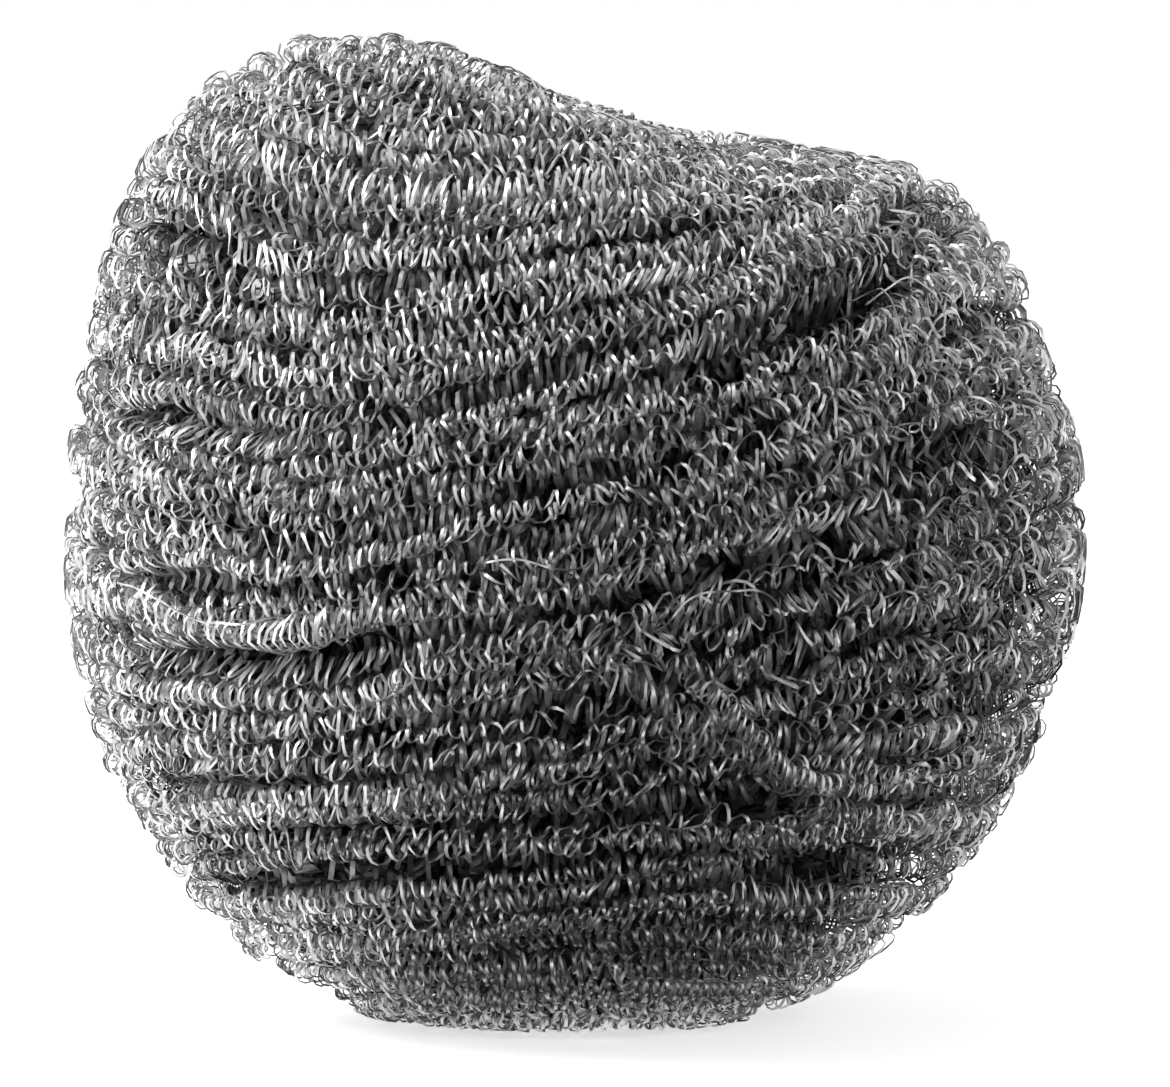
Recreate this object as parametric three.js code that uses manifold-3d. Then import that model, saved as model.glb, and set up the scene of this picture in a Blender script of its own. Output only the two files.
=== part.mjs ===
// Stainless steel scourer: one long strand of coiled flat wire, wound round and round into a ball.
//
// The strand is drawn by its outside, a rope as thick as the coil of wire. It winds down the ball in
// one spiral, and each wrap is a rounded ridge that meets the next one in a groove. The wraps climb
// and wander as they do on a ball wound by hand, and a few more lengths of the strand cross over them
// and tuck in again. The wraps inside can't be seen, so the middle is solid.
//
// Millimetres, +Z up, the front faces -Y. The origin is under the middle of the ball, on the flat
// patch that it rests on.

import * as THREE from "three";
import { mergeVertices } from "three/addons/utils/BufferGeometryUtils.js";
import Module from "manifold-3d";

const wasm = await Module();
wasm.setup();

// The ball
const BALL_WIDTH = 88.5;
const BALL_DEPTH = 80;
const BALL_HEIGHT = 87.3;
const REST_SQUASH = 2.6; // how far the underside is pressed flat

// The strand
const STRAND_DIAMETER = 3.7; // outside of the coiled wire
const CROSSING_DIAMETER = 2.8; // of a length that crosses over, which is stretched and so thinner
const WRAP_MESH = 0.2; // how far the coils of neighbouring wraps reach into each other
const GROOVE_RISE = 0.3; // least height of a groove's floor above the middle of the strand

// How unevenly the strand was wound
const WANDER_ASIDE = 0.6;
const WANDER_OUT = 0.5;
const CROSSING_PROUD = 1.1; // how far a crossing strand stands above the wraps
const PARTING_DEPTH = 1.5; // how much deeper a parting is for each millimetre of its half width
const PARTING_REACH = 4.5; // how far from a parting the wraps are pushed aside

// How far the ball bulges out or is hollow
const CROWN_HEIGHT = 7.2;
const SADDLE_DEPTH = 9.6;
const SHOULDER_HEIGHT = 2.2;
const LEFT_FOOT_HEIGHT = 1.9;
const BACK_BULGE_HEIGHT = 1.6;
const BACK_HOLLOW_DEPTH = 1.5;

// How far the wraps climb across the front, and again at the right
const FRONT_RISE = 15;
const RIGHT_RISE = 7;

// How finely the strand is drawn
const COLUMNS = 32; // sections in each wrap
const CROSSING_SIDES = 6;
const CROSSING_STEP = 4;

const FRONT = new THREE.Vector3(0, -1, 0);
const RIGHT = new THREE.Vector3(1, 0, 0);
const UP = new THREE.Vector3(0, 0, 1);
const rad = THREE.MathUtils.degToRad;

// Bulges and hollows of the ball. Azimuth runs from the front to the right, elevation from the
// middle up, and spread is how wide each one is, in degrees.
const LOBES = [
  { name: "crown", azimuth: -78, elevation: 52, height: CROWN_HEIGHT, spread: 19 },
  { name: "saddle", azimuth: 90, elevation: 79, height: -SADDLE_DEPTH, spread: 19 },
  { name: "shoulder", azimuth: 88, elevation: 40, height: SHOULDER_HEIGHT, spread: 7 },
  { name: "left_foot", azimuth: -88, elevation: -40, height: LEFT_FOOT_HEIGHT, spread: 22 },
  { name: "back_bulge", azimuth: 165, elevation: 25, height: BACK_BULGE_HEIGHT, spread: 28 },
  { name: "back_hollow", azimuth: -140, elevation: -8, height: -BACK_HOLLOW_DEPTH, spread: 24 },
];

// Stretches where the wraps climb as they go round to the right: from one azimuth to another, most
// at one polar angle and less within a spread of it. They come back down over the far side. Angles
// are in degrees.
const CLIMBS = [
  { from: -42, to: 44, fall: 95, back: 290, polar: 86, spread: 30, rise: FRONT_RISE },
  { from: 10, to: 90, fall: 115, back: 260, polar: 80, spread: 28, rise: RIGHT_RISE },
];

// Lengths of the strand that cross over the wraps, by azimuth and polar angle in degrees.
const CROSSINGS = {
  junction: [[-14, 97], [3, 104], [22, 112], [40, 122], [68, 125], [96, 121]],
  left_side: [[-77, 93], [-62, 96], [-42, 100], [-22, 96]],
  crown: [[-112, 55], [-70, 46], [-30, 46], [2, 40], [34, 35]],
  back: [[132, 58], [164, 72], [196, 92], [226, 99]],
};

// Partings, where a wrap stands off from the next one and the groove between them is deep: a polar angle
// near that groove where it passes the front, before it climbs, the azimuths of both ends, all in degrees,
// and half the width in millimetres.
const PARTINGS = {
  upper_right: { polar: 81, from: 16, to: 56, half: 1.7 },
  upper_left: { polar: 76, from: -73, to: -36, half: 1 },
  upper_middle: { polar: 76, from: -30, to: 3, half: 0.8 },
  left: { polar: 104, from: -68, to: -23, half: 1.6 },
  left_short: { polar: 95, from: -62, to: -44, half: 0.9 },
  lower_left: { polar: 132, from: -62, to: -4, half: 1.5 },
  lower_right: { polar: 137, from: 28, to: 50, half: 1.9 },
  foot: { polar: 146, from: -17, to: 2, half: 1.6 },
  right_high: { polar: 99, from: 42, to: 62, half: 1 },
  right_middle: { polar: 109, from: 13, to: 50, half: 0.8 },
  right_low: { polar: 127, from: 20, to: 34, half: 0.9 },
  right_rim: { polar: 127, from: 49, to: 68, half: 0.9 },
  crown_front: { polar: 29, from: -42, to: -21, half: 1 },
  crown_left: { polar: 53, from: -52, to: -38, half: 1 },
  shoulder: { polar: 71, from: 50, to: 80, half: 0.8 },
  back_high: { polar: 90, from: 120, to: 168, half: 1 },
  back_low: { polar: 118, from: -170, to: -118, half: 1 },
};

const centre = new THREE.Vector3(0, 0, BALL_HEIGHT / 2);
const strandRadius = STRAND_DIAMETER / 2;
const crossingRadius = CROSSING_DIAMETER / 2;
const wrapPitch = STRAND_DIAMETER - WRAP_MESH;
const meanRadius = (BALL_WIDTH + BALL_DEPTH + BALL_HEIGHT) / 6;

// The spiral starts and ends a little way from the poles, at this many wraps.
const poleWraps = 0.75;
const wraps = Math.round((Math.PI * meanRadius) / wrapPitch - 2 * poleWraps);
const wrapAngle = Math.PI / (wraps + 2 * poleWraps);
const lastStation = wraps * COLUMNS;

// Unit vector at an azimuth from the front and a polar angle from the top, both in radians.
function direction(azimuth, polar) {
  const level = Math.sin(polar);
  return new THREE.Vector3()
    .addScaledVector(RIGHT, level * Math.sin(azimuth))
    .addScaledVector(FRONT, level * Math.cos(azimuth))
    .addScaledVector(UP, Math.cos(polar));
}

const lobes = LOBES.map((lobe) => ({
  ...lobe,
  axis: direction(rad(lobe.azimuth), rad(90 - lobe.elevation)),
}));

// Distance from the ball's centre to its outside in one direction.
function ballRadius(towards) {
  const half = BALL_HEIGHT / 2 + (towards.z < 0 ? REST_SQUASH : 0);
  const halves = new THREE.Vector3(BALL_WIDTH / 2, BALL_DEPTH / 2, half);
  let radius = 1 / towards.clone().divide(halves).length();
  for (const { axis, height, spread } of lobes) {
    const away = towards.angleTo(axis) / rad(spread);
    radius += height * Math.exp(-away * away / 2);
  }
  return radius;
}

// How far the wraps have climbed at an azimuth and polar angle, as an angle.
function climbed(azimuth, polar) {
  let angle = 0;
  for (const { from, to, fall, back, polar: level, spread, rise } of CLIMBS) {
    const start = rad(from);
    const turn = start + THREE.MathUtils.euclideanModulo(azimuth - start, 2 * Math.PI);
    const up = THREE.MathUtils.smoothstep(turn, start, rad(to));
    const down = THREE.MathUtils.smoothstep(turn, rad(fall), rad(back));
    const off = (polar - rad(level)) / rad(spread);
    angle += (rise / meanRadius) * up * (1 - down) * Math.exp(-off * off / 2);
  }
  return angle;
}

// How far partings push the wraps aside at an azimuth and polar angle, as an angle, and how much deeper
// the groove is there. A parting runs along the wraps that it lies between.
function parted(azimuth, polar) {
  const { euclideanModulo, radToDeg, smoothstep } = THREE.MathUtils;
  const turn = euclideanModulo(azimuth + Math.PI, 2 * Math.PI) - Math.PI;
  let aside = 0;
  let depth = 0;
  for (const { polar: near, from, to, half } of Object.values(PARTINGS)) {
    const share = (radToDeg(turn) - from) / (to - from);
    const open = smoothstep(share, -0.08, 0.15) * (1 - smoothstep(share, 0.85, 1.08));
    const wrap = Math.round(rad(near) / wrapAngle - poleWraps - 0.5);
    const level = wrapAngle * (poleWraps + wrap + 0.5 + turn / (2 * Math.PI));
    const off = (polar - level + climbed(turn, level)) * meanRadius;
    const push = Math.tanh(off / (wrapPitch / 6)) * Math.exp(-((off / PARTING_REACH) ** 2));
    aside += (half / meanRadius) * open * push;
    depth += PARTING_DEPTH * half * open * Math.exp(-((off / (wrapPitch / 2)) ** 4));
  }
  return { aside, depth };
}

// A slow wander between -1 and 1 along the strand, different for each phase. The two waves don't keep
// step with the wraps, so that no wrap wanders as the next one does.
function wander(turned, phase) {
  const slow = Math.sin(1.37 * turned + phase);
  const quick = Math.sin(2.71 * turned + 2.3 * phase);
  return 0.6 * slow + 0.4 * quick;
}

// Where the middle of the strand lies, sunk by its own radius below the outside of the ball.
function strandPoint(azimuth, polar, lift) {
  const towards = direction(azimuth, polar);
  return towards.clone().multiplyScalar(ballRadius(towards) - strandRadius + lift).add(centre);
}

function outwardAt(point) {
  return point.clone().sub(centre).normalize();
}

// The middle of the strand at a station of the spiral, COLUMNS of them in each wrap.
function spiralPoint(station) {
  const turned = (2 * Math.PI * station) / COLUMNS;
  const level = wrapAngle * (poleWraps + station / COLUMNS);
  const aside = (WANDER_ASIDE / meanRadius) * wander(turned, 0) * Math.sin(level);
  const polar = level - climbed(turned, level) + aside;
  return strandPoint(turned, polar + parted(turned, polar).aside, WANDER_OUT * wander(turned, 1.9));
}

// The groove between a station and the wrap above it, where two round strands meet or part.
function groovePoint(station) {
  const upper = spiralPoint(station - COLUMNS);
  const lower = spiralPoint(station);
  const half = upper.distanceTo(lower) / 2;
  const rise = Math.sqrt(Math.max(strandRadius ** 2 - half ** 2, GROOVE_RISE ** 2));
  const middle = upper.add(lower).divideScalar(2);
  const outward = outwardAt(middle);
  const { depth } = parted(Math.atan2(outward.dot(RIGHT), outward.dot(FRONT)), outward.angleTo(UP));
  return middle.addScaledVector(outward, rise - depth);
}

// A strand's outside at a station: the groove above, the upper flank, the crest and the lower flank.
function ridgeSection(station) {
  const middle = spiralPoint(station);
  const crest = outwardAt(middle);
  const above = groovePoint(station);
  const below = groovePoint(station + COLUMNS);
  const flanks = [above, below].map((groove) => groove.clone().sub(middle).normalize().add(crest));
  const [upper, top, lower] = [flanks[0], crest, flanks[1]].map((towards) =>
    middle.clone().addScaledVector(towards.normalize(), strandRadius),
  );
  return [above, upper, top, lower];
}

// The wound ball: ridge sections lofted along the spiral, closed at its two ends and at the poles.
function windingGeometry() {
  const points = [];
  for (let station = 0; station <= lastStation; station++) {
    points.push(...ridgeSection(station));
  }
  for (let station = lastStation + 1; station <= lastStation + COLUMNS; station++) {
    points.push(groovePoint(station));
  }
  const topPole = points.push(strandPoint(0, 0, GROOVE_RISE)) - 1;
  const bottomPole = points.push(strandPoint(0, Math.PI, GROOVE_RISE)) - 1;

  const sections = lastStation + 1;
  const groove = (station) => (station < sections ? 4 * station : 3 * sections + station);
  const corner = (station, row) => (row < 4 ? 4 * station + row : groove(station + COLUMNS));

  const triangles = [];
  for (let station = 0; station < lastStation; station++) {
    for (let row = 0; row < 4; row++) {
      const [a, b] = [corner(station, row), corner(station, row + 1)];
      const [c, d] = [corner(station + 1, row + 1), corner(station + 1, row)];
      triangles.push(a, b, c, a, c, d);
    }
  }
  for (let row = 1; row < 4; row++) {
    triangles.push(corner(0, 0), corner(0, row + 1), corner(0, row));
    triangles.push(corner(lastStation, 0), corner(lastStation, row), corner(lastStation, row + 1));
  }
  for (let column = 0; column < COLUMNS; column++) {
    triangles.push(topPole, groove(column), groove(column + 1));
    triangles.push(bottomPole, groove(lastStation + column + 1), groove(lastStation + column));
  }
  triangles.push(topPole, groove(COLUMNS), groove(0));
  triangles.push(bottomPole, groove(lastStation), groove(lastStation + COLUMNS));
  return new THREE.BufferGeometry().setFromPoints(points).setIndex(triangles);
}

// A length of strand that comes up out of the wraps, crosses over them and tucks in again.
class CrossingCurve extends THREE.Curve {
  constructor(route) {
    super();
    this.route = new THREE.SplineCurve(route.map(([azimuth, polar]) => new THREE.Vector2(azimuth, polar)));
  }

  getPoint(t) {
    const { x: azimuth, y: polar } = this.route.getPoint(t);
    const tuck = 0.15; // share of the length that each end takes to come up
    const up = THREE.MathUtils.smoothstep(Math.min(t, 1 - t), 0, tuck);
    const highest = CROSSING_PROUD + strandRadius - crossingRadius;
    const lift = THREE.MathUtils.lerp(-STRAND_DIAMETER, highest, up);
    return strandPoint(rad(azimuth), rad(polar), lift);
  }

  // Frames that keep one side of the section outwards.
  computeFrenetFrames(steps) {
    const tangents = [];
    const normals = [];
    const binormals = [];
    for (let i = 0; i <= steps; i++) {
      const tangent = this.getTangentAt(i / steps);
      const normal = outwardAt(this.getPointAt(i / steps)).projectOnPlane(tangent).normalize();
      tangents.push(tangent);
      normals.push(normal);
      binormals.push(tangent.clone().cross(normal));
    }
    return { tangents, normals, binormals };
  }
}

function crossingGeometry(route) {
  const section = new THREE.Shape();
  section.absarc(0, 0, crossingRadius, 0, 2 * Math.PI);
  const curve = new CrossingCurve(route);
  return new THREE.ExtrudeGeometry(section, {
    extrudePath: curve,
    steps: Math.ceil(curve.getLength() / CROSSING_STEP),
    curveSegments: CROSSING_SIDES,
  });
}

// What the ball rests on: everything below it is pressed flat.
function floorGeometry() {
  const side = 2 * Math.max(BALL_WIDTH, BALL_DEPTH);
  return new THREE.BoxGeometry(side, side, BALL_HEIGHT).translate(0, 0, -BALL_HEIGHT / 2);
}

// A closed geometry as a solid that can be joined and cut.
function solidOf(geometry) {
  geometry.deleteAttribute("normal");
  geometry.deleteAttribute("uv");
  const merged = mergeVertices(geometry, 1e-4);
  return new wasm.Manifold(
    new wasm.Mesh({
      numProp: 3,
      vertProperties: new Float32Array(merged.attributes.position.array),
      triVerts: new Uint32Array(merged.index.array),
    }),
  );
}

function geometryOf(solid) {
  const { vertProperties, triVerts } = solid.getMesh();
  const geometry = new THREE.BufferGeometry();
  geometry.setAttribute("position", new THREE.BufferAttribute(vertProperties, 3));
  geometry.setIndex(new THREE.BufferAttribute(triVerts, 1));
  geometry.computeVertexNormals();
  return geometry;
}

function woundCoil() {
  let solid = solidOf(windingGeometry());
  for (const route of Object.values(CROSSINGS)) {
    solid = solid.add(solidOf(crossingGeometry(route)));
  }
  solid = solid.subtract(solidOf(floorGeometry()));
  const steel = new THREE.MeshStandardMaterial({ color: 0xa3a19d, metalness: 1, roughness: 0.3 });
  const mesh = new THREE.Mesh(geometryOf(solid), steel);
  mesh.name = "wound_coil";
  const middle = new THREE.Box3().setFromObject(mesh).getCenter(new THREE.Vector3());
  mesh.position.set(-middle.x, -middle.y, 0);
  return mesh;
}

const scourer = new THREE.Group();
scourer.add(woundCoil());

export default scourer;
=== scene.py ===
"""A stainless steel scourer: springy coils of flat wire, wound round and round into a ball.

Metres, +Z up, the front faces -Y, in the frame of the solid. The outer strands follow the spiral of
the solid's wraps, two to a wrap, and here they are what they really are: coils of thin flat wire.
"""

import math

import bpy
import numpy as np
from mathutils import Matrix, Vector


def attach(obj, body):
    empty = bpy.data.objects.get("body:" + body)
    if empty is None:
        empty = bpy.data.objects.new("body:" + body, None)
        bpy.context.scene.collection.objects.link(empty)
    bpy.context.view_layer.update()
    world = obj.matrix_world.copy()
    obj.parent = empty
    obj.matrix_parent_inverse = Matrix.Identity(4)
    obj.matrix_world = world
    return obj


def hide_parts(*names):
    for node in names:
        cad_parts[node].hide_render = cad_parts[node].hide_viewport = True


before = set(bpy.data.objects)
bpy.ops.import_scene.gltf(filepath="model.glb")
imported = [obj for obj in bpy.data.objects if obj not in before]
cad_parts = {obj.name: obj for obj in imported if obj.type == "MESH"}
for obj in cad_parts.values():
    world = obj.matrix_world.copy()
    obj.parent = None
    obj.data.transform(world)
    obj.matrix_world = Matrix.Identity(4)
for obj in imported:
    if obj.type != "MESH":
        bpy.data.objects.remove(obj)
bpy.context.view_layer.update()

MM = 0.001

# The ball and the winding, as in the solid
BALL_WIDTH = 88.5 * MM
BALL_DEPTH = 80 * MM
BALL_HEIGHT = 87.3 * MM
REST_SQUASH = 2.6 * MM
WRAP_PITCH = 3.5 * MM
POLE_WRAPS = 0.75
WANDER_ASIDE = 0.6 * MM
WANDER_OUT = 0.5 * MM
WANDER_OUT_PHASE = 1.9
CENTRE = np.array([0, 0, BALL_HEIGHT / 2])
MEAN_RADIUS = (BALL_WIDTH + BALL_DEPTH + BALL_HEIGHT) / 6
WRAPS = round(math.pi * MEAN_RADIUS / WRAP_PITCH - 2 * POLE_WRAPS)
WRAP_ANGLE = math.pi / (WRAPS + 2 * POLE_WRAPS)
END_WRAPS = 0.5  # the wire goes on past the solid's ends, to the poles

# Bulges and hollows of the ball: azimuth, elevation, height and spread, in degrees and metres
LOBES = {
    "crown": (-78, 52, 7.2 * MM, 19),
    "saddle": (90, 79, -9.6 * MM, 19),
    "shoulder": (88, 40, 2.2 * MM, 7),
    "left_foot": (-88, -40, 1.9 * MM, 22),
    "back_bulge": (165, 25, 1.6 * MM, 28),
    "back_hollow": (-140, -8, -1.5 * MM, 24),
}

# Stretches where the wraps climb to the right: azimuths, polar angle, spread and rise
CLIMBS = (
    {"start": -42, "end": 44, "fall": 95, "back": 290, "polar": 86, "spread": 30, "rise": 15 * MM},
    {"start": 10, "end": 90, "fall": 115, "back": 260, "polar": 80, "spread": 28, "rise": 7 * MM},
)

# Partings, where a wrap stands off from the next one and the ball is dark between them: the wrap's
# number from the top, the azimuths of both ends, and half the width
PARTINGS = {
    "upper_right": (16, 16, 56, 1.7 * MM),
    "upper_left": (15, -73, -36, 1.0 * MM),
    "upper_middle": (15, -30, 3, 0.8 * MM),
    "left": (21, -68, -23, 1.6 * MM),
    "left_short": (19, -62, -44, 0.9 * MM),
    "lower_left": (27, -62, -4, 0.9 * MM),
    "lower_right": (28, 28, 50, 1.9 * MM),
    "foot": (30, -17, 2, 1.6 * MM),
    "right_high": (20, 42, 62, 1.0 * MM),
    "right_middle": (22, 13, 50, 0.8 * MM),
    "right_low": (26, 20, 34, 0.9 * MM),
    "right_rim": (26, 49, 68, 0.9 * MM),
    "crown_front": (5, -42, -21, 1.0 * MM),
    "crown_left": (10, -52, -38, 1.0 * MM),
    "shoulder": (14, 50, 80, 0.8 * MM),
    "back_high": (18, 120, 168, 1.0 * MM),
    "back_low": (24, -170, -118, 1.0 * MM),
}
PARTING_DEPTH = 1.5  # as a multiple of its half width
PARTING_PUSH = 0.8  # how far the wraps are pushed aside, as a share of its half width
PARTING_REACH = 4.5 * MM  # how far from the parting they are pushed
PARTING_EDGE = 0.6 * MM  # how far from its middle they are pushed in full
PARTING_ENDS = (0.08, 0.15)  # shares of its length outside and inside each end, over which it closes

# Lengths of strand that cross over the wraps, by azimuth and polar angle
CROSSINGS = {
    "junction": ((-14, 97), (3, 104), (22, 112), (40, 122), (68, 125), (96, 121)),
    "left_side": ((-77, 93), (-62, 96), (-42, 100), (-22, 96)),
    "crown": ((-112, 55), (-70, 46), (-30, 46), (2, 40), (34, 35)),
    "back": ((132, 58), (164, 72), (196, 92), (226, 99)),
    "top": ((-60, 16), (-58, 5), (-56, -6), (-54, -17)),
}
CROSSING_PROUD = 0.3 * MM
CROSSING_RADIUS = 1.3 * MM
TUCK_DEPTH = 2 * CROSSING_RADIUS
TUCK_SHARE = 0.15  # of a crossing's length, over which each end comes up

# Open coils of strand that stand off the outline
LOOPS = {
    "shoulder_top": ((66, 33), (88, 34), (110, 36)),
    "right_foot": ((50, 149), (66, 145), (82, 141)),
    "right_low": ((66, 129), (74, 125), (84, 120)),
    "left_foot": ((-50, 146), (-32, 151), (-10, 154)),
    "under_front": ((12, 157), (24, 155), (38, 152)),
}

# Thinner lengths that kept their even turns: one at the foot, and one that comes down from the junction
TIDY_LENGTHS = {
    "foot": ((6, 148), (25, 148), (44, 147)),
    "descent": ((14, 104), (18, 107), (21, 111), (26, 116), (32, 118), (40, 118)),
}
TIDY_PROUD = 0.5 * MM

# Single wires that were pulled out of their coils and lie on top
LOOSE_WIRES = {
    "ring": ((9, 100), (11, 97), (15, 94), (22, 94), (25, 97), (25, 101)),
    "right_upright": ((44, 58), (45, 61), (45, 66), (44, 70)),
    "right_hook": ((46, 59), (51, 58), (54, 62), (52, 66)),
    "left": ((-66, 94), (-58, 95), (-48, 98), (-38, 98)),
    "middle": ((-13, 91), (-7, 90), (-2, 91), (3, 90)),
    "low": ((4, 124), (9, 122), (15, 123), (20, 121)),
    "back": ((150, 80), (156, 84), (165, 85), (172, 82)),
}
LOOSE_PROUD = 0.8 * MM
LOOSE_STEP = 0.4 * MM
LOOSE_TONE = 0.4

# The flat wire
WIRE_WIDTH = 0.3 * MM
WIRE_THICKNESS = 0.14 * MM
LOOSE_WIDTH = 0.6 * WIRE_WIDTH  # of a single wire, which was drawn thinner as it was pulled out
SIDES = 3  # of its section: the broad side, and two that meet behind it

# Steps of a turn of the wire, as shares of it: close together on the side that shows
OUTER_STEPS = np.array((0, 36, 72, 118, 180, 242, 288, 324)) / 360
INNER_STEPS = np.array((0, 40, 85, 180, 275, 320)) / 360
DEEP_STEPS = np.arange(5) / 5

# The coils of each kind of strand, as coil() takes them
STRAND_RADIUS = 0.72 * MM
STRAND_COIL = {"radius": STRAND_RADIUS, "pitch": 1.15 * MM, "loose": 1.35}
# The wires inside are painted darker than the outer strands, a painted shade for the depths of the ball.
UNDER_COIL = {"radius": 1.3 * MM, "pitch": 1.1 * MM, "marks": INNER_STEPS, "dark": 0.5, "width": 0.4 * MM}
MIDDLE_COIL = {"radius": 1.8 * MM, "pitch": 1.3 * MM, "marks": DEEP_STEPS, "dark": 0.85, "width": 0.5 * MM}
DEEP_COIL = {"radius": 2.4 * MM, "pitch": 1.1 * MM, "marks": DEEP_STEPS, "dark": 0.7, "width": 0.8 * MM}
CROSSING_COIL = {"radius": CROSSING_RADIUS, "pitch": 1.0 * MM, "proud": 1.5 * MM}
# The tidy lengths are painted a little lighter than the outer strands.
TIDY_COIL = {"radius": 0.85 * MM, "pitch": 0.85 * MM, "loose": 0.4, "dark": -0.1, "proud": 1.8 * MM}
LOOP_COIL = {"radius": 1.1 * MM, "pitch": 1.7 * MM, "loose": 0.6}

# Where they are wound: how many wraps ahead of the solid's, how deep the middle of a coil lies, and how
# far the wraps under the outer ones come up where those are twice as far apart as elsewhere
STRANDS_AHEAD = {"upper": -0.2, "lower": 0.2}
STRAND_DEPTH = STRAND_RADIUS + 0.25 * MM
UNDER_AHEAD = 0.5
UNDER_DEPTH = 3.6 * MM
UNDER_FILL = 3 * MM

# Windings inside the ball: depth and pitch, and how far their axis leans over and turns, in degrees
MIDDLE_WINDING = (5.6 * MM, 4.4 * MM, -25, 120)
DEEP_WINDINGS = (
    (7.4 * MM, 4.8 * MM, 55, 25),
    (11 * MM, 5 * MM, -40, 70),
    (16 * MM, 5 * MM, 80, -30),
)

# What most coils have in common
FLATNESS = 0.95  # a coil's height for its width, pressed by the wraps' own pull
COIL_TILT = -0.1
COIL_PROUD = 0.5 * MM  # the most that a coil stands off the ball
COIL_TONE = 0.5

# How unevenly the wraps are wound together, in bands that are so much longer than high
BUNCH = 1.0 * MM
BUNCH_LENGTH = 44 * MM
HEAVE = 0.7 * MM
HEAVE_LENGTH = 40 * MM
BAND_LENGTH = 5

# How unevenly a strand is wound where the winding is plain: by how much at most, and over what length
SWAY_OUT = (0.3 * MM, 12 * MM)
SWAY_ASIDE = (0.5 * MM, 14 * MM)
PITCH_CHANGE = (0.3, 8 * MM)
SIZE_CHANGE = (0.1, 6 * MM)
LEAN_CHANGE = (0.25, 22 * MM)
NOD_CHANGE = (0.2, 12 * MM)
TONE_CHANGE = (0.2, 20 * MM)

# The same from turn to turn: by how much at most, and over how many turns
TURN_SIZE = (0.15, 1.0)
TURN_LEAN = (0.33, 1.7)
TURN_NOD = (0.25, 1.3)
TURN_JOG = (0.2, 0.5)
TURN_LIFT = (0.15 * MM, 1.4)
TURN_SLIP = (0.3 * MM, 1.4)
TURN_KINK = (0.14 * MM, 0.42)
TURN_TONE = (0.4, 1.0)
TURN_TWIST = (0.55, 0.45)

# The same for the windings inside, by the angle they turn through, and for loose wires, by their steps
INNER_ASIDE = (0.35, 1.3)
INNER_OUT = (0.5 * MM, 2.1)
LOOSE_SWAY = (0.15 * MM, 4)
LOOSE_TWIST = (0.7, 5)

# Short stretches of a strand that were pulled open, and single turns that are larger: one in so much,
# and so wide
STRETCHES = (40 * MM, 1.6 * MM)
LARGE_TURNS = (30, 0.8)
LARGE_TURN_MORE = 0.3

# Where the winding is wilder: azimuth, elevation and spread in degrees, and how much wilder
TANGLES = {
    "right": (62, 8, 30, 1.0),
    "junction": (14, -14, 15, 0.9),
    "left": (-75, 0, 26, 0.5),
    "crown": (-75, 45, 18, 0.3),
    "back": (150, -10, 40, 0.4),
}

# Where the coils are larger: azimuth, elevation and spread in degrees, and how much larger
LARGE_COILS = {
    "left": (-70, 5, 28, 0.3),
    "crown": (-45, 52, 20, 0.25),
    "right": (75, 0, 25, 0.3),
    "back": (170, 10, 50, 0.3),
}

# How finely the strands' routes are drawn
OUTER_POINTS = 800  # in each wrap
INNER_POINTS = 600  # in each wrap
CROSSING_POINTS = 400
PATH_STEP = 0.3 * MM

# The steel's finish; the painted shade of the wires deep in the ball takes them towards the dark end of
# its colour ramp
DARK_STEEL = (0.08, 0.08, 0.08, 1)
BRIGHT_STEEL = (0.95, 0.95, 0.945, 1)
TONE_SHARE = 0.6
GRAIN_SCALE = 1100
GRAIN_RANGE = (0.3, 0.7)
ROUGHNESS_RANGE = (0.4, 0.56)

# The photograph's frame, and where the ball lies in it, in pixels
IMAGE_WIDTH = 1170
IMAGE_HEIGHT = 1087
BALL_PIXELS_WIDE = 1022
VISIBLE_WIDTH = 90 * MM
BALL_PIXEL_MIDDLE = (577, 527)
CAMERA_ELEVATION = math.radians(4)
CAMERA_DISTANCE = 0.75

# The stage
WORLD_LIGHT = 0.55  # strength of the world where it isn't seen by eye or in a reflection
FLOOR_COLOUR = (0.9, 0.9, 0.9, 1)
FLOOR_GLOW = 0.6
FLOOR_HALF = 3

# The dark flag: from a ring on the floor near the ball, out to a dome and up it, between two azimuths
FLAG_COLOUR = (0.05, 0.05, 0.05, 1)
FLAG_RING_RADIUS = 21 * MM
FLAG_RING_LEFT = -41
FLAG_DOME_RADIUS = 1.1
FLAG_DOME_LEFT = ((0, -36), (15, -34), (30, -27), (45, -15), (60, -2))  # by elevation
FLAG_RIGHT = 58
FLAG_ABOVE_FLOOR = 0.5 * MM
FLAG_COLUMNS = 27

# Lamps: place, size and power
LAMPS = {
    "key": ((-0.76, 0.1, 0.74), 0.6, 11.0),
    "front": ((0.2, -0.76, 0.32), 0.3, 1.5),
}

chance = np.random.default_rng(20)


def unit(vectors):
    return vectors / np.linalg.norm(vectors, axis=-1, keepdims=True)


def smoothstep(value, low, high):
    share = np.clip((value - low) / (high - low), 0, 1)
    return share * share * (3 - 2 * share)


def direction(azimuth, polar):
    """Unit vectors at azimuths from the front and polar angles from the top, in radians."""
    level = np.sin(polar)
    return np.stack([level * np.sin(azimuth), -level * np.cos(azimuth), np.cos(polar)], axis=-1)


def within(towards, azimuth, elevation, spread):
    """1 for unit vectors towards the middle of a round zone, and less away from it."""
    axis = direction(np.radians(azimuth), np.radians(90 - elevation))
    away = np.arccos(np.clip(towards @ axis, -1, 1)) / np.radians(spread)
    return np.exp(-away * away / 2)


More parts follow.
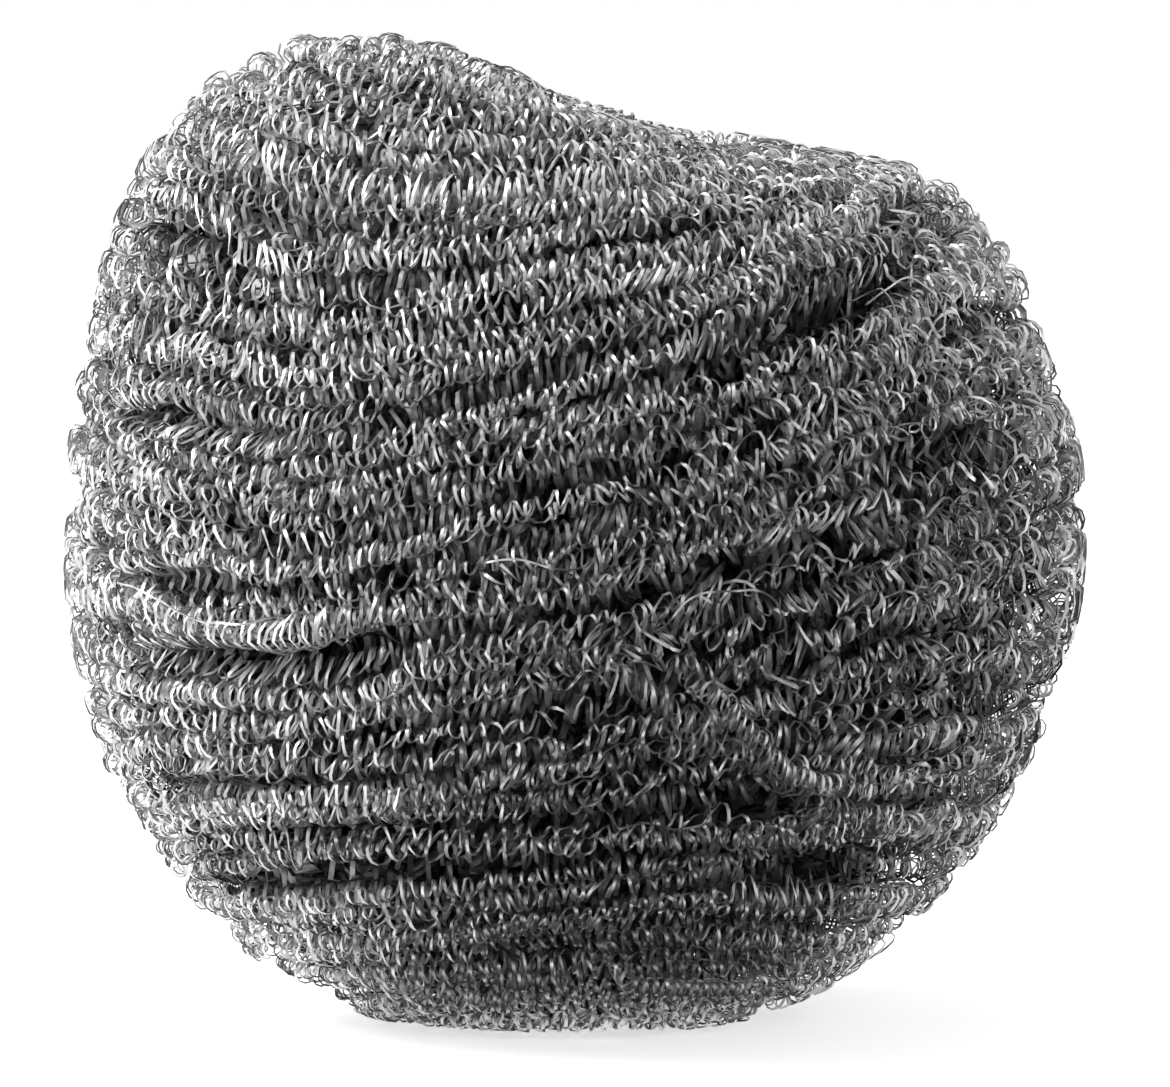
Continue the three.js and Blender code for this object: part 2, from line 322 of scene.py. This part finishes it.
def ball_radius(towards):
    """Distance from the ball's centre to its outside along unit vectors."""
    half_height = BALL_HEIGHT / 2 + np.where(towards[..., 2] < 0, REST_SQUASH, 0)
    half_width = np.full_like(half_height, BALL_WIDTH / 2)
    half_depth = np.full_like(half_height, BALL_DEPTH / 2)
    halves = np.stack([half_width, half_depth, half_height], axis=-1)
    radius = 1 / np.linalg.norm(towards / halves, axis=-1)
    for azimuth, elevation, height, spread in LOBES.values():
        radius = radius + height * within(towards, azimuth, elevation, spread)
    return radius


def climbed(azimuth, polar):
    """How far the wraps have climbed, as an angle."""
    angle = np.zeros_like(azimuth)
    for climb in CLIMBS:
        start = np.radians(climb["start"])
        turn = start + np.mod(azimuth - start, 2 * np.pi)
        up = smoothstep(turn, start, np.radians(climb["end"]))
        down = smoothstep(turn, np.radians(climb["fall"]), np.radians(climb["back"]))
        off = (polar - np.radians(climb["polar"])) / np.radians(climb["spread"])
        angle += climb["rise"] / MEAN_RADIUS * up * (1 - down) * np.exp(-off * off / 2)
    return angle


def wander(turned, phase):
    """The slow wander of the solid's strand, between -1 and 1."""
    return 0.6 * np.sin(1.37 * turned + phase) + 0.4 * np.sin(2.71 * turned + 2.3 * phase)


def drift(place, wavelength):
    """Smooth random values between -1 and 1 along a length."""
    knots = chance.uniform(-1, 1, int(place.max() / wavelength) + 2)
    at = place / wavelength
    before = at.astype(int)
    share = smoothstep(at - before, 0, 1)
    return knots[before] * (1 - share) + knots[before + 1] * share


def varied(place, change):
    """Smooth random values along a length, for a change of at most so much over so long."""
    most, wavelength = change
    return most * drift(place, wavelength)


def bumps(place, spacing):
    """Single bumps up to 1 high, at random places along a length: one in so much, and so wide."""
    every, width = spacing
    total = np.zeros(len(place))
    for middle in chance.uniform(0, place.max(), int(place.max() / every)):
        total += chance.uniform(0.3, 1) * np.exp(-(((place - middle) / width) ** 2))
    return total


def swell(wavelength):
    """A smooth random field: a function of points with values between about -1 and 1."""
    count = 8
    headings = unit(chance.normal(size=(count, 3)))
    waves = headings * 2 * np.pi / (wavelength * chance.uniform(0.7, 1.4, (count, 1)))
    phases = chance.uniform(0, 2 * np.pi, count)
    most = 3  # the sum of so many waves is seldom more
    return lambda points: np.sin(points @ waves.T + phases).sum(axis=-1) / most


bunching = swell(BUNCH_LENGTH)
heaving = swell(HEAVE_LENGTH)


def parted(azimuth, polar):
    """How far the partings push the wraps aside, as an angle, and how deep they are."""
    turn = np.mod(azimuth + np.pi, 2 * np.pi) - np.pi
    outside, inside = PARTING_ENDS
    aside = np.zeros_like(polar)
    depth = np.zeros_like(polar)
    for wrap, first, last, half in PARTINGS.values():
        share = (np.degrees(turn) - first) / (last - first)
        begun = smoothstep(share, -outside, inside)
        ended = smoothstep(share, 1 - inside, 1 + outside)
        open_here = begun * (1 - ended)
        level = WRAP_ANGLE * (POLE_WRAPS + wrap + 0.5 + turn / (2 * np.pi))
        off = (polar - level + climbed(turn, level)) * MEAN_RADIUS
        push = np.tanh(off / PARTING_EDGE) * np.exp(-((off / PARTING_REACH) ** 2))
        aside += PARTING_PUSH * half / MEAN_RADIUS * open_here * push
        depth += PARTING_DEPTH * half * open_here * np.exp(-((off / half) ** 2))
    return aside, depth


def outer_path(depth, ahead, fill=0):
    """The middle of a strand as the solid winds it, so deep, and some wraps ahead of the solid's.

    It comes up by the fill where the wraps are twice as far apart as they are elsewhere.
    """
    turned = 2 * np.pi * np.linspace(-END_WRAPS, WRAPS + END_WRAPS, WRAPS * OUTER_POINTS)
    level = WRAP_ANGLE * (POLE_WRAPS + ahead + turned / (2 * np.pi))
    polar = level - climbed(turned, level)
    band = MEAN_RADIUS * direction(turned, level)
    band[:, 2] = BAND_LENGTH * MEAN_RADIUS * level
    uneven = WANDER_ASIDE * wander(turned, 0) + BUNCH * bunching(band)
    polar += uneven / MEAN_RADIUS * np.sin(level)
    pushed, _ = parted(turned, polar)
    towards = direction(turned, polar + pushed)
    reach = ball_radius(towards) - depth
    reach += WANDER_OUT * wander(turned, WANDER_OUT_PHASE) + HEAVE * np.tanh(heaving(band))
    nudge = 0.01
    apart = 1 - (climbed(turned, level + nudge) - climbed(turned, level - nudge)) / (2 * nudge)
    reach += fill * np.maximum(apart - 1, 0)
    return CENTRE + towards * reach[:, None]


def inner_path(depth, pitch, lean, turn):
    """A strand wound deeper in the ball, round an axis that leans over and turns by so many degrees."""
    radius = MEAN_RADIUS - depth
    wraps = round(math.pi * radius / pitch - 2 * POLE_WRAPS)
    wrap_angle = math.pi / (wraps + 2 * POLE_WRAPS)
    turned = np.linspace(0, 2 * np.pi * wraps, wraps * INNER_POINTS)
    level = wrap_angle * (POLE_WRAPS + turned / (2 * np.pi))
    level = level + wrap_angle * varied(turned, INNER_ASIDE) * np.sin(level)
    flat = direction(turned, level)
    lean_cos, lean_sin = math.cos(math.radians(lean)), math.sin(math.radians(lean))
    turn_cos, turn_sin = math.cos(math.radians(turn)), math.sin(math.radians(turn))
    tip = np.array([[lean_cos, 0, lean_sin], [0, 1, 0], [-lean_sin, 0, lean_cos]])
    spin = np.array([[turn_cos, -turn_sin, 0], [turn_sin, turn_cos, 0], [0, 0, 1]])
    towards = flat @ tip.T @ spin.T
    reach = ball_radius(towards) - depth + varied(turned, INNER_OUT)
    return CENTRE + towards * reach[:, None]


def catmull(at, values):
    """A smooth curve through values, one at each whole number."""
    before = np.clip(at.astype(int), 0, len(values) - 2)
    share = at - before
    padded = np.concatenate([[2 * values[0] - values[1]], values, [2 * values[-1] - values[-2]]])
    a, b, c, d = (padded[before + k] for k in range(4))
    return b + share / 2 * (c - a + share * (2 * a - 5 * b + 4 * c - d + share * (3 * (b - c) + d - a)))


def crossing_path(route, proud):
    """A length of strand that comes up out of the wraps, crosses over them and tucks in again."""
    corners = np.radians(np.array(route, float))
    fine = np.linspace(0, len(corners) - 1, CROSSING_POINTS)
    towards = direction(catmull(fine, corners[:, 0]), catmull(fine, corners[:, 1]))
    share = np.linspace(0, 1, CROSSING_POINTS)
    up = smoothstep(np.minimum(share, 1 - share), 0, TUCK_SHARE)
    lift = proud - (proud + TUCK_DEPTH) * (1 - up)
    return CENTRE + towards * (ball_radius(towards) + lift)[:, None]


def press_down(points):
    """Presses what would be under the floor into a thin layer on it."""
    give = 0.9 * MM
    lowest = 0.1 * MM
    points[..., 2] = lowest + give * np.logaddexp(0, (points[..., 2] - lowest) / give)
    return points


def hold_in(points, most):
    """Holds what stands off the ball to within so much of its outside."""
    spokes = points - CENTRE
    distance = np.linalg.norm(spokes, axis=1)
    towards = spokes / distance[:, None]
    proud = np.maximum(distance - ball_radius(towards), 0)
    return points - towards * (proud - most * np.tanh(proud / most))[:, None]


def sink(points):
    """Sinks what lies over a parting, so that the ball is dark there."""
    towards = unit(points - CENTRE)
    _, depth = parted(np.arctan2(towards[:, 0], -towards[:, 1]), np.arccos(towards[:, 2]))
    return points - towards * depth[:, None]


def more_within(zones, points):
    """1 at points far from the zones, and more within them."""
    towards = unit(points - CENTRE)
    total = np.ones(len(points))
    for azimuth, elevation, spread, more in zones.values():
        total += more * within(towards, azimuth, elevation, spread)
    return total


def spread_along(path, step):
    """The distances along a path at even steps, and the points there."""
    length = np.concatenate([[0], np.cumsum(np.linalg.norm(np.diff(path, axis=0), axis=1))])
    even = np.arange(0, length[-1], step)
    return even, np.stack([np.interp(even, length, path[:, axis]) for axis in range(3)], axis=1)


def ribbon(wire, outward, twist, width):
    """Corners of a flat wire along its points, broad side outward but for some twist."""
    run = unit(np.gradient(wire, axis=0))
    across = unit(np.cross(outward, run))
    facing = np.cross(run, across)
    broad = across * np.cos(twist)[:, None] + facing * np.sin(twist)[:, None]
    half = broad * width / 2
    skin = np.cross(run, broad) * WIRE_THICKNESS / 2
    return np.stack([wire + half + skin, wire - half + skin, wire - skin], axis=1)


def coil(path, radius, pitch, marks=OUTER_STEPS, loose=1.0, dark=0.0, proud=COIL_PROUD, width=WIRE_WIDTH):
    """Corners of a flat wire that coils round a path, and its tones, with their painted shade, at each of
    its steps.

    The marks are the steps of a turn. Loose is how unevenly it is wound, dark how much darker it is
    painted than the outer strands, a painted shade for the wires that lie deep in the ball (below 0 it is
    painted lighter), and proud the most that it stands off the ball.
    """
    fine, path = spread_along(path, PATH_STEP)
    forward = unit(np.gradient(path, axis=0))
    outward = unit(path - CENTRE)
    outward = unit(outward - forward * np.sum(outward * forward, axis=1, keepdims=True))
    aside = np.cross(forward, outward)
    tangled = more_within(TANGLES, path)
    large = more_within(LARGE_COILS, path)
    path = path + outward * (tangled * varied(fine, SWAY_OUT))[:, None]
    path = path + aside * (tangled * varied(fine, SWAY_ASIDE))[:, None]

    wild = loose * tangled
    stretch = 1 + wild * bumps(fine, STRETCHES)
    local_pitch = pitch * np.sqrt(large) * np.exp(wild * varied(fine, PITCH_CHANGE)) * stretch
    turns = np.concatenate([[0], np.cumsum(PATH_STEP / local_pitch[:-1])])
    steps = (np.arange(int(turns[-1]))[:, None] + marks).ravel()
    at = np.interp(steps, turns, fine)

    def here(vectors):
        return np.stack([np.interp(at, fine, vectors[:, axis]) for axis in range(3)], axis=1)

    wild = np.interp(at, fine, wild)
    angle = 2 * np.pi * steps
    size = 1 + wild * (varied(at, SIZE_CHANGE) + varied(steps, TURN_SIZE))
    size += LARGE_TURN_MORE * wild * bumps(steps, LARGE_TURNS)
    reach = radius * np.interp(at, fine, large) * size
    lean = COIL_TILT - here(forward)[:, 2] + wild * (varied(at, LEAN_CHANGE) + varied(steps, TURN_LEAN))
    nod = wild * (varied(at, NOD_CHANGE) + varied(steps, TURN_NOD))
    slant = reach * (lean * np.sin(angle) + nod * np.cos(angle))
    jog = pitch * wild * varied(steps, TURN_JOG)
    lift = wild * (varied(steps, TURN_LIFT) + varied(steps, TURN_KINK))
    slip = wild * (varied(steps, TURN_SLIP) + varied(steps, TURN_KINK))
    spoke = here(outward) * FLATNESS * np.cos(angle)[:, None] + here(aside) * np.sin(angle)[:, None]
    wire = here(path) + spoke * reach[:, None] + here(forward) * (slant + jog)[:, None]
    wire = wire + here(outward) * lift[:, None] + here(aside) * slip[:, None]
    wire = press_down(hold_in(sink(wire), proud))
    # Its tones differ at random from turn to turn and along the wire, and the painted shade darkens the
    # wires deep in the ball.
    tone_and_shade = COIL_TONE - dark + varied(steps, TURN_TONE) + varied(at, TONE_CHANGE)
    twist = wild * varied(steps, TURN_TWIST)
    return ribbon(wire, spoke, twist, width), tone_and_shade


def loose_wire(route):
    """Corners and tones of a single wire that lies on the wraps, with both ends tucked in."""
    _, wire = spread_along(crossing_path(route, LOOSE_PROUD), LOOSE_STEP)
    place = np.arange(len(wire))
    for axis in range(3):
        wire[:, axis] += varied(place, LOOSE_SWAY)
    twist = varied(place, LOOSE_TWIST)
    tone_and_shade = np.full(len(wire), LOOSE_TONE)
    return ribbon(wire, unit(wire - CENTRE), twist, LOOSE_WIDTH), tone_and_shade


def strip_faces(first, steps):
    """The faces of one wire, as corners of its steps, and the two faces at its ends."""
    step = first + SIDES * np.arange(steps - 1)[:, None]
    side = np.arange(SIDES)[None, :]
    after = (side + 1) % SIDES
    strip = np.stack([step + side, step + after, step + SIDES + after, step + SIDES + side], axis=-1)
    last = first + SIDES * (steps - 1)
    return strip.reshape(-1, 4), [np.arange(SIDES)[::-1] + first, np.arange(SIDES) + last]


def strip_map(cell, cells):
    """Where the faces of a wire's segments lie on a square map: rows of cells, a band for each side."""
    margin = 0.1
    across = math.ceil(math.sqrt(cells))
    down = math.ceil(cells / across)
    column = (cell % across)[:, None]
    row = (cell // across)[:, None]
    side = np.arange(SIDES)[None, :]
    low = (row + (side + margin) / SIDES) / down
    high = (row + (side + 1 - margin) / SIDES) / down
    left = column / across + np.zeros_like(low)
    right = (column + 1) / across + np.zeros_like(low)
    corners = [(left, low), (left, high), (right, high), (right, low)]
    return np.stack([np.stack(corner, axis=-1) for corner in corners], axis=2).reshape(-1, 2)


def wire_mesh(name, strands):
    """A mesh of flat wires, each given by its corners and tones with their painted shade, with the map for
    its finish.
    """
    cells = sum(len(corners) - 1 for corners, _ in strands)
    first = 0
    cell = 0
    strips = []
    caps = []
    maps = []
    cap_maps = []
    for corners, _ in strands:
        count = len(corners) - 1
        strip, ends = strip_faces(first, count + 1)
        strips.append(strip)
        caps += ends
        places = strip_map(cell + np.arange(count), cells)
        maps.append(places)
        cap_maps += [np.repeat(places[:1], SIDES, axis=0), np.repeat(places[-1:], SIDES, axis=0)]
        first += SIDES * (count + 1)
        cell += count
    points = np.concatenate([corners.reshape(-1, 3) for corners, _ in strands])
    tones = np.concatenate([np.repeat(tone_and_shade, SIDES) for _, tone_and_shade in strands])
    strips = np.concatenate(strips)
    loops = np.concatenate([strips.ravel()] + caps)
    starts = np.concatenate([4 * np.arange(len(strips)), strips.size + SIDES * np.arange(len(caps))])
    places = np.concatenate(maps + cap_maps)

    mesh = bpy.data.meshes.new(name)
    mesh.vertices.add(len(points))
    mesh.vertices.foreach_set("co", points.astype(np.float32).ravel())
    mesh.loops.add(len(loops))
    mesh.loops.foreach_set("vertex_index", loops.astype(np.int32))
    mesh.polygons.add(len(starts))
    mesh.polygons.foreach_set("loop_start", starts.astype(np.int32))
    mesh.update(calc_edges=True)
    mesh.validate()
    mesh.polygons.foreach_set("use_smooth", np.ones(len(mesh.polygons), bool))
    ends = np.empty(2 * len(mesh.edges), np.int32)
    mesh.edges.foreach_get("vertices", ends)
    ends = ends.reshape(-1, 2)
    lengthwise = ends[:, 0] % SIDES == ends[:, 1] % SIDES
    mesh.attributes.new("sharp_edge", "BOOLEAN", "EDGE").data.foreach_set("value", lengthwise)
    # Each wire's tones, with the painted shade of the wires deep in the ball, for the steel's colour ramp.
    mesh.attributes.new("tone_and_shade", "FLOAT", "POINT").data.foreach_set("value", tones.astype(np.float32))
    mesh.uv_layers.new(name="OFBake").data.foreach_set("uv", places.astype(np.float32).ravel())
    return mesh


def wire_object(name, strands, material):
    """One piece of the scourer, of one or more flat wires."""
    mesh = wire_mesh(name, strands)
    mesh.materials.append(material)
    piece = bpy.data.objects.new(name, mesh)
    bpy.context.scene.collection.objects.link(piece)
    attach(piece, "root")
    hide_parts("wound_coil")


def wire_objects(names, strand, material):
    """One strand cut into a piece for each name."""
    corners, tone_and_shade = strand
    cuts = np.linspace(0, len(corners) - 1, len(names) + 1).astype(int)
    for name, low, high in zip(names, cuts[:-1], cuts[1:]):
        wire_object(name, [(corners[low : high + 1], tone_and_shade[low : high + 1])], material)


def steel():
    """Bright drawn stainless: each turn a little lighter or darker, duller or shinier than the next, and
    the wires deep in the ball painted darker as painted shade.
    """
    material = bpy.data.materials.new("stainless_wire")
    material.use_nodes = True
    nodes = material.node_tree.nodes
    links = material.node_tree.links
    surface = nodes["Principled BSDF"]
    surface.inputs["Metallic"].default_value = 1.0
    tone_and_shade = nodes.new("ShaderNodeAttribute")
    tone_and_shade.attribute_name = "tone_and_shade"
    place = nodes.new("ShaderNodeTexCoord")
    grain = nodes.new("ShaderNodeTexNoise")
    grain.inputs["Scale"].default_value = GRAIN_SCALE
    grain.inputs["Detail"].default_value = 2
    links.new(place.outputs["Object"], grain.inputs["Vector"])
    both = nodes.new("ShaderNodeMath")
    both.operation = "ADD"
    links.new(tone_and_shade.outputs["Fac"], both.inputs[0])
    links.new(grain.outputs["Fac"], both.inputs[1])
    colour = nodes.new("ShaderNodeValToRGB")
    colour.color_ramp.elements[0].color = DARK_STEEL
    colour.color_ramp.elements[1].color = BRIGHT_STEEL
    scaled = nodes.new("ShaderNodeMath")
    scaled.operation = "MULTIPLY"
    scaled.inputs[1].default_value = TONE_SHARE
    links.new(both.outputs[0], scaled.inputs[0])
    links.new(scaled.outputs[0], colour.inputs["Fac"])
    links.new(colour.outputs["Color"], surface.inputs["Base Color"])
    dull = nodes.new("ShaderNodeMapRange")
    dull.inputs["From Min"].default_value = GRAIN_RANGE[0]
    dull.inputs["From Max"].default_value = GRAIN_RANGE[1]
    dull.inputs["To Min"].default_value = ROUGHNESS_RANGE[0]
    dull.inputs["To Max"].default_value = ROUGHNESS_RANGE[1]
    links.new(grain.outputs["Fac"], dull.inputs["Value"])
    links.new(dull.outputs["Result"], surface.inputs["Roughness"])
    return material


def scourer():
    """The outer strands, the wraps under them, and what lies across them and hangs out."""
    material = steel()
    for side, ahead in STRANDS_AHEAD.items():
        strand = coil(outer_path(STRAND_DEPTH, ahead), **STRAND_COIL)
        wire_objects((f"{side}_strand_top", f"{side}_strand_bottom"), strand, material)
    under = coil(outer_path(UNDER_DEPTH, UNDER_AHEAD, UNDER_FILL), **UNDER_COIL)
    wire_object("under_wraps", [under], material)
    middle = coil(inner_path(*MIDDLE_WINDING), **MIDDLE_COIL)
    wire_object("middle_wraps", [middle], material)
    deep_paths = [inner_path(*winding) for winding in DEEP_WINDINGS]
    deep = [coil(path, **DEEP_COIL) for path in deep_paths]
    wire_object("deep_wraps", deep, material)
    sunk = CROSSING_PROUD - CROSSING_RADIUS
    crossings = [coil(crossing_path(route, sunk), **CROSSING_COIL) for route in CROSSINGS.values()]
    tidy = [coil(crossing_path(route, TIDY_PROUD), **TIDY_COIL) for route in TIDY_LENGTHS.values()]
    wire_object("crossing_strands", crossings + tidy, material)
    loops = [coil(crossing_path(route, 0), **LOOP_COIL) for route in LOOPS.values()]
    wire_object("loose_loops", loops, material)
    wire_object("loose_wires", [loose_wire(route) for route in LOOSE_WIRES.values()], material)


def camera():
    """A camera that frames the ball as the photograph does."""
    pixel = VISIBLE_WIDTH / BALL_PIXELS_WIDE
    data = bpy.data.cameras.new("camera")
    data.sensor_width = 36
    data.lens = data.sensor_width * CAMERA_DISTANCE / (IMAGE_WIDTH * pixel)
    data.clip_start = 0.01
    piece = bpy.data.objects.new("camera", data)
    bpy.context.scene.collection.objects.link(piece)
    back = Vector((0, -math.cos(CAMERA_ELEVATION), math.sin(CAMERA_ELEVATION)))
    right = Vector((1, 0, 0))
    up = right.cross(-back)
    aim = Vector(CENTRE)
    aim += right * pixel * (IMAGE_WIDTH / 2 - BALL_PIXEL_MIDDLE[0])
    aim -= up * pixel * (IMAGE_HEIGHT / 2 - BALL_PIXEL_MIDDLE[1])
    piece.location = aim + back * CAMERA_DISTANCE
    piece.rotation_euler = (-back).to_track_quat("-Z", "Y").to_euler()
    bpy.context.scene.camera = piece


def seen_by_eye_or_mirror(tree):
    """1 for rays from the camera, from a reflection or through glass, and 0 for the others."""
    path = tree.nodes.new("ShaderNodeLightPath")
    seen = path.outputs["Is Camera Ray"]
    for kind in ("Is Glossy Ray", "Is Transmission Ray"):
        either = tree.nodes.new("ShaderNodeMath")
        either.operation = "MAXIMUM"
        tree.links.new(seen, either.inputs[0])
        tree.links.new(path.outputs[kind], either.inputs[1])
        seen = either.outputs[0]
    return seen


def backdrop():
    """A white world, which lights the floor at less than its strength."""
    world = bpy.data.worlds.new("studio")
    bpy.context.scene.world = world
    world.use_nodes = True
    tree = world.node_tree
    background = tree.nodes["Background"]
    background.inputs["Color"].default_value = (1, 1, 1, 1)
    strength = tree.nodes.new("ShaderNodeMapRange")
    strength.inputs["To Min"].default_value = WORLD_LIGHT
    strength.inputs["To Max"].default_value = 1.0
    tree.links.new(seen_by_eye_or_mirror(tree), strength.inputs["Value"])
    tree.links.new(strength.outputs["Result"], background.inputs["Strength"])


def area_light(name, place, size, power):
    """A square lamp that points at the middle of the ball."""
    data = bpy.data.lights.new(name, "AREA")
    data.size = size
    data.energy = power
    lamp = bpy.data.objects.new(name, data)
    lamp.location = place
    lamp.rotation_euler = (Vector(CENTRE) - Vector(place)).to_track_quat("-Z", "Y").to_euler()
    bpy.context.scene.collection.objects.link(lamp)


def matt(name, colour):
    """A material with no gloss, and its surface node."""
    material = bpy.data.materials.new(name)
    material.use_nodes = True
    surface = material.node_tree.nodes["Principled BSDF"]
    surface.inputs["Base Color"].default_value = colour
    surface.inputs["Roughness"].default_value = 1.0
    surface.inputs["Specular IOR Level"].default_value = 0.0
    return material, surface


def stage_object(name, points, faces, material):
    """A piece of the stage, which isn't part of the scourer."""
    mesh = bpy.data.meshes.new(name)
    mesh.from_pydata(points, [], faces)
    mesh.materials.append(material)
    piece = bpy.data.objects.new(name, mesh)
    bpy.context.scene.collection.objects.link(piece)
    return piece


def floor():
    """A white floor that keeps the ball's shadow."""
    material, surface = matt("floor", FLOOR_COLOUR)
    tree = material.node_tree
    surface.inputs["Emission Color"].default_value = (1, 1, 1, 1)
    glow = tree.nodes.new("ShaderNodeMath")
    glow.operation = "MULTIPLY"
    glow.inputs[1].default_value = FLOOR_GLOW
    tree.links.new(seen_by_eye_or_mirror(tree), glow.inputs[0])
    tree.links.new(glow.outputs[0], surface.inputs["Emission Strength"])
    half = FLOOR_HALF
    corners = [(-half, -half, 0), (half, -half, 0), (half, half, 0), (-half, half, 0)]
    stage_object("floor", corners, [(0, 1, 2, 3)], material)


def dark_flag():
    """A dark cloth on the camera's side of the table, outside the picture, that the metal reflects."""
    material, _ = matt("dark_flag", FLAG_COLOUR)
    rows = [(FLAG_RING_RADIUS, FLAG_ABOVE_FLOOR, FLAG_RING_LEFT)]
    for elevation, left in FLAG_DOME_LEFT:
        angle = math.radians(elevation)
        height = FLAG_ABOVE_FLOOR + FLAG_DOME_RADIUS * math.sin(angle)
        rows.append((FLAG_DOME_RADIUS * math.cos(angle), height, left))
    points = []
    for radius, height, left in rows:
        for azimuth in np.radians(np.linspace(left, FLAG_RIGHT, FLAG_COLUMNS)):
            points.append((radius * math.sin(azimuth), -radius * math.cos(azimuth), height))
    faces = []
    for row in range(len(rows) - 1):
        for column in range(FLAG_COLUMNS - 1):
            corner = row * FLAG_COLUMNS + column
            above = corner + FLAG_COLUMNS
            faces.append((corner, corner + 1, above + 1, above))
    flag = stage_object("dark_flag", points, faces, material)
    flag.visible_camera = False
    flag.visible_diffuse = False
    flag.visible_shadow = False


def studio():
    """The plain white stage and its lamps."""
    bpy.context.scene.view_settings.view_transform = "Standard"
    backdrop()
    floor()
    dark_flag()
    for name, (place, size, power) in LAMPS.items():
        area_light(name, place, size, power)


camera()
studio()
scourer()
